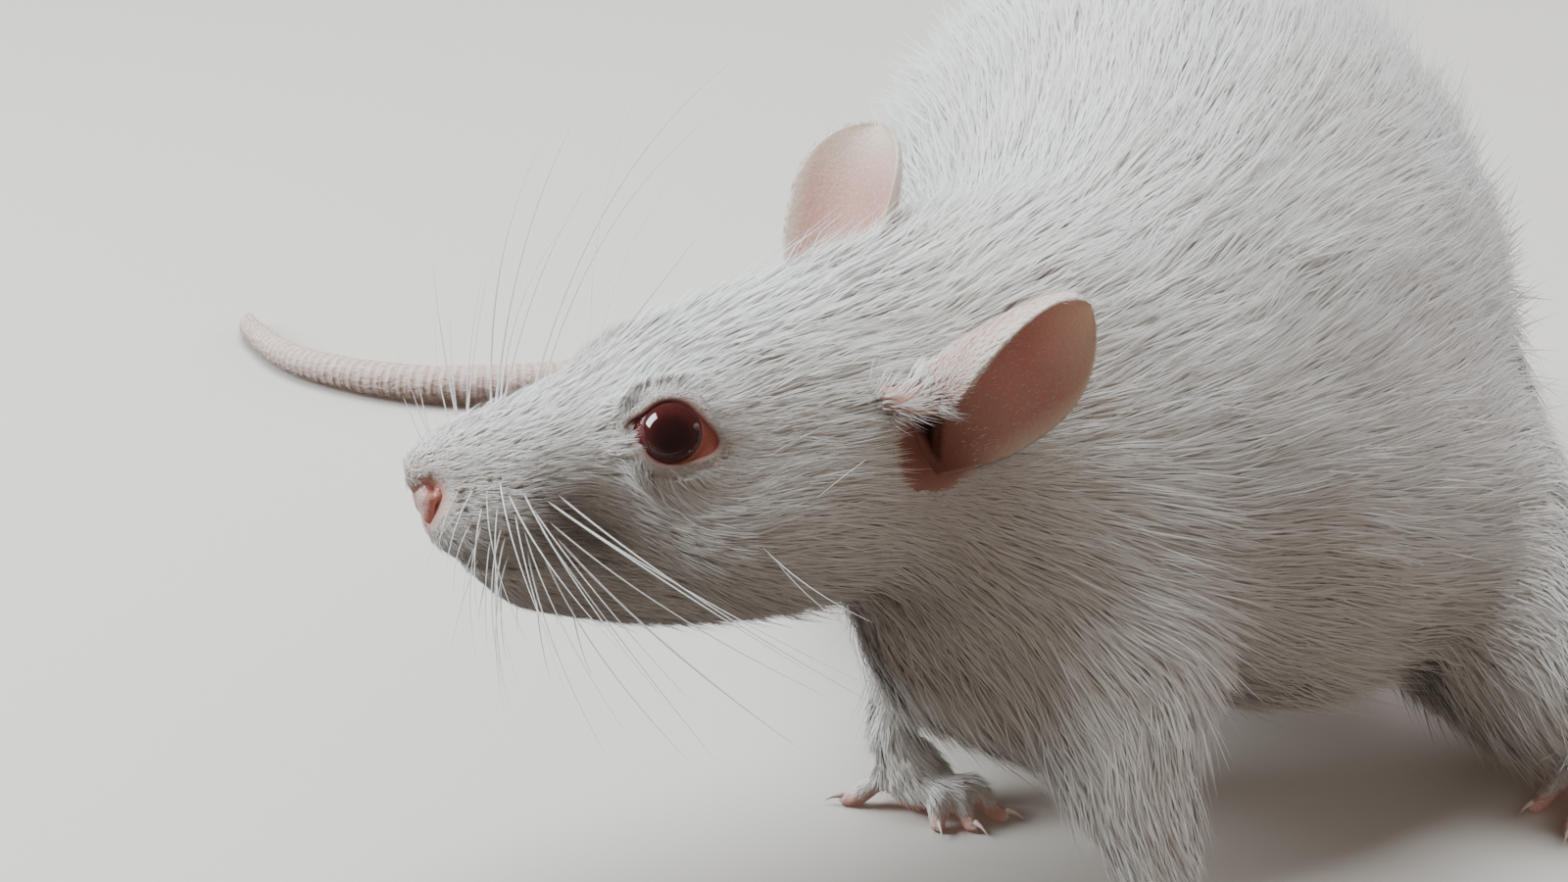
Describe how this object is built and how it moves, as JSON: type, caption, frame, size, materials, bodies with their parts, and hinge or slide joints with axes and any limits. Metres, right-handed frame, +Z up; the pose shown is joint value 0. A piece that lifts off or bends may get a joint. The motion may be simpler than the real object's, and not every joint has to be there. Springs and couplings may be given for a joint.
{
  "type": "white pet rat",
  "caption": "Life-size still model of an albino pet rat, hunched on its feet with its head turned to its right and its long tail curled out behind.",
  "frame": {"origin": "middle of the footprint, on the floor", "axes": "+Z up, the muzzle points towards -X, the body runs back from the shoulders along +Y"},
  "size_m": [0.1576, 0.197, 0.077],
  "materials": {
    "coat": "soft short white fur",
    "nose": "moist bare pink skin",
    "eye": "wet, dark red",
    "ear": "thin bare pink skin with very short down",
    "foot": "pink skin with short thin hair, pale claws",
    "tail": "ringed scaly skin with short bristles"
  },
  "bodies": {
    "root": {"head": "coat", "lower_jaw": "coat", "nose": "nose", "eye_left": "eye", "eye_right": "eye", "ear_left": "ear", "ear_right": "ear", "neck": "coat", "chest": "coat", "belly": "coat", "rump": "coat", "upper_arm_left": "coat", "forearm_left": "coat", "forepaw_left": "foot", "upper_arm_right": "coat", "forearm_right": "coat", "forepaw_right": "foot", "thigh_left": "coat", "hind_foot_left": "foot", "thigh_right": "coat", "hind_foot_right": "foot", "tail_1": "tail", "tail_2": "tail", "tail_3": "tail", "tail_4": "tail"}
  },
  "joints": []
}
